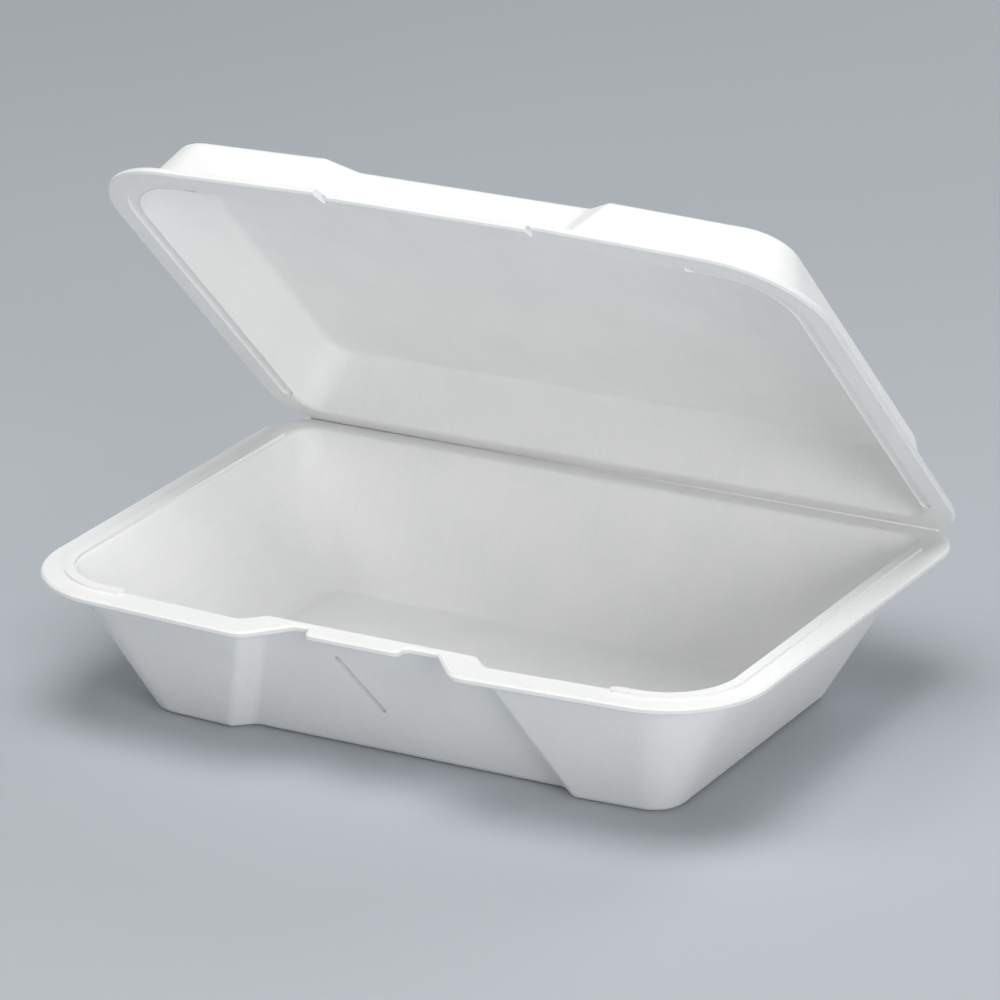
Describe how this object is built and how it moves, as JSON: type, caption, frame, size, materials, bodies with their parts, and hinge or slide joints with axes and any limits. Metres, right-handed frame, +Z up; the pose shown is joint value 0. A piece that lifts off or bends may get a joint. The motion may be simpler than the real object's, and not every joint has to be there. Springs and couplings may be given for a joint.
{
  "type": "foam clamshell container",
  "caption": "Hinged take-out container of white expanded foam: a tray with a notched front tab, and a shallow lid standing half open.",
  "frame": {"origin": "middle of the tray's flat underside, on the surface it stands on", "axes": "+X along the hinge to the right, +Y from the front tab towards the hinge, +Z up"},
  "size_m": [0.235, 0.1692, 0.1643],
  "materials": {
    "foam": "matte expanded foam"
  },
  "bodies": {
    "tray": {"tray": "foam"},
    "lid": {"lid": "foam"}
  },
  "joints": [
    {"name": "lid_hinge", "type": "hinge", "parent": "tray", "child": "lid", "pos_m": [0, 0.08275, 0.0454], "axis": [-1, 0, 0], "range_deg": [-45, 135]}
  ]
}
